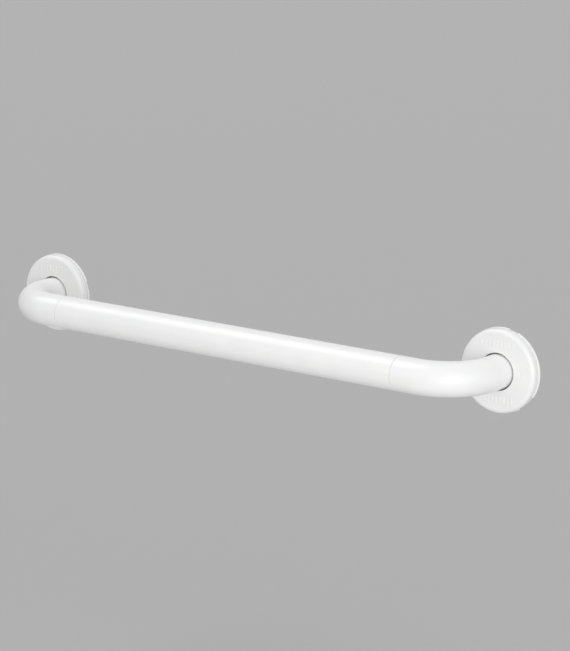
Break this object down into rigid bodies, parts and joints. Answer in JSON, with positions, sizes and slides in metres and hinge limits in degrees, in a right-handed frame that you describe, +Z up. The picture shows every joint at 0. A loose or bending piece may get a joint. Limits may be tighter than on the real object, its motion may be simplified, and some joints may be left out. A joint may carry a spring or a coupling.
{
  "type": "wall-mounted grab bar",
  "caption": "Straight wall grab bar: a round nylon-sleeved steel rail that turns in to the wall at each end and stands on round screwed flanges with clip-on covers.",
  "frame": {"origin": "on the wall's face, midway between the two flanges' centres", "axes": "+Y into the wall, so the room is at -Y; +X along the rail, to the right as the bar is looked at from the room; +Z up"},
  "size_m": [0.6008, 0.104, 0.0778],
  "materials": {
    "white_nylon": "satin-gloss moulded nylon, coloured through",
    "core_steel": "drawn, galvanised tube",
    "plate_steel": "pressed, hot-dip galvanised plate",
    "fixing_steel": "bright stainless"
  },
  "bodies": {
    "bar": {"steel_core": "core_steel", "rail_sleeve": "white_nylon", "left_elbow": "white_nylon", "right_elbow": "white_nylon", "left_mounting_plate": "plate_steel", "right_mounting_plate": "plate_steel", "left_wall_screw_1": "fixing_steel", "left_wall_screw_2": "fixing_steel", "left_wall_screw_3": "fixing_steel", "left_wall_washer_1": "fixing_steel", "left_wall_washer_2": "fixing_steel", "left_wall_washer_3": "fixing_steel", "right_wall_screw_1": "fixing_steel", "right_wall_screw_2": "fixing_steel", "right_wall_screw_3": "fixing_steel", "right_wall_washer_1": "fixing_steel", "right_wall_washer_2": "fixing_steel", "right_wall_washer_3": "fixing_steel"},
    "left_ring": {"left_clip_ring": "white_nylon"},
    "left_cap": {"left_cover": "white_nylon"},
    "right_ring": {"right_clip_ring": "white_nylon"},
    "right_cap": {"right_cover": "white_nylon"}
  },
  "joints": [
    {"name": "left_ring_turn", "type": "hinge", "parent": "bar", "child": "left_ring", "pos_m": [-0.2615, 0, 0], "axis": [0, -1, 0], "continuous": true},
    {"name": "left_cover_slide", "type": "slide", "parent": "left_ring", "child": "left_cap", "axis": [0, -1, 0], "range_m": [0, 0.018]},
    {"name": "right_ring_turn", "type": "hinge", "parent": "bar", "child": "right_ring", "pos_m": [0.2615, 0, 0], "axis": [0, -1, 0], "continuous": true},
    {"name": "right_cover_slide", "type": "slide", "parent": "right_ring", "child": "right_cap", "axis": [0, -1, 0], "range_m": [0, 0.018]}
  ]
}
